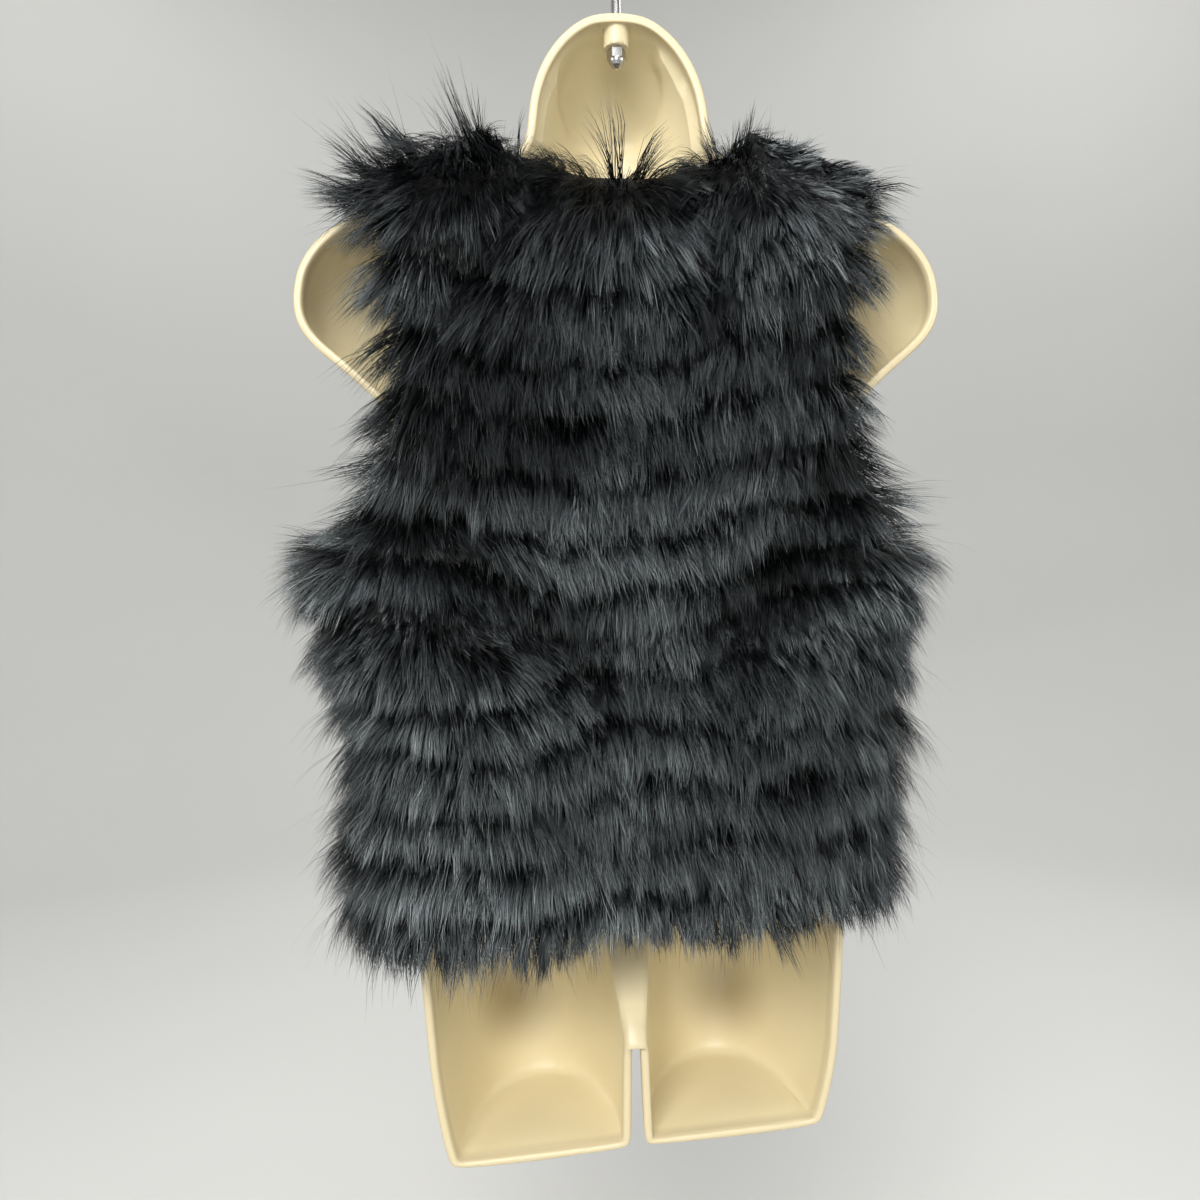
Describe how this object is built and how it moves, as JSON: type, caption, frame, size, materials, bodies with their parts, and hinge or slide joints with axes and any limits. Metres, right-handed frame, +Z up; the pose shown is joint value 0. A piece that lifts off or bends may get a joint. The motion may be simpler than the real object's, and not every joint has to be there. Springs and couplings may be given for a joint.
{
  "type": "faux fur vest on a hanging torso form",
  "caption": "Black long-pile faux fur vest, open at neck, armholes and hem, on a hollow-backed cream plastic torso form that hangs from a steel hook.",
  "frame": {"origin": "the point inside the hook's crook where a rail carries the part", "axes": "+Z up, the garment's front towards -Y, the form's open back and the vest's back towards +Y, the wearer's left towards +X"},
  "size_m": [0.424, 0.2426, 0.8535],
  "materials": {
    "black_fur": "long soft pile, low sheen",
    "black_lining": "smooth woven satin",
    "cream_plastic": "satin moulded",
    "hook_steel": "bright plated"
  },
  "bodies": {
    "root": {"fur_back": "black_fur", "fur_front_left": "black_fur", "fur_front_right": "black_fur", "lining_back": "black_lining", "lining_front_left": "black_lining", "lining_front_right": "black_lining", "form_shell": "cream_plastic", "hook": "hook_steel", "hook_nut": "hook_steel"}
  },
  "joints": []
}
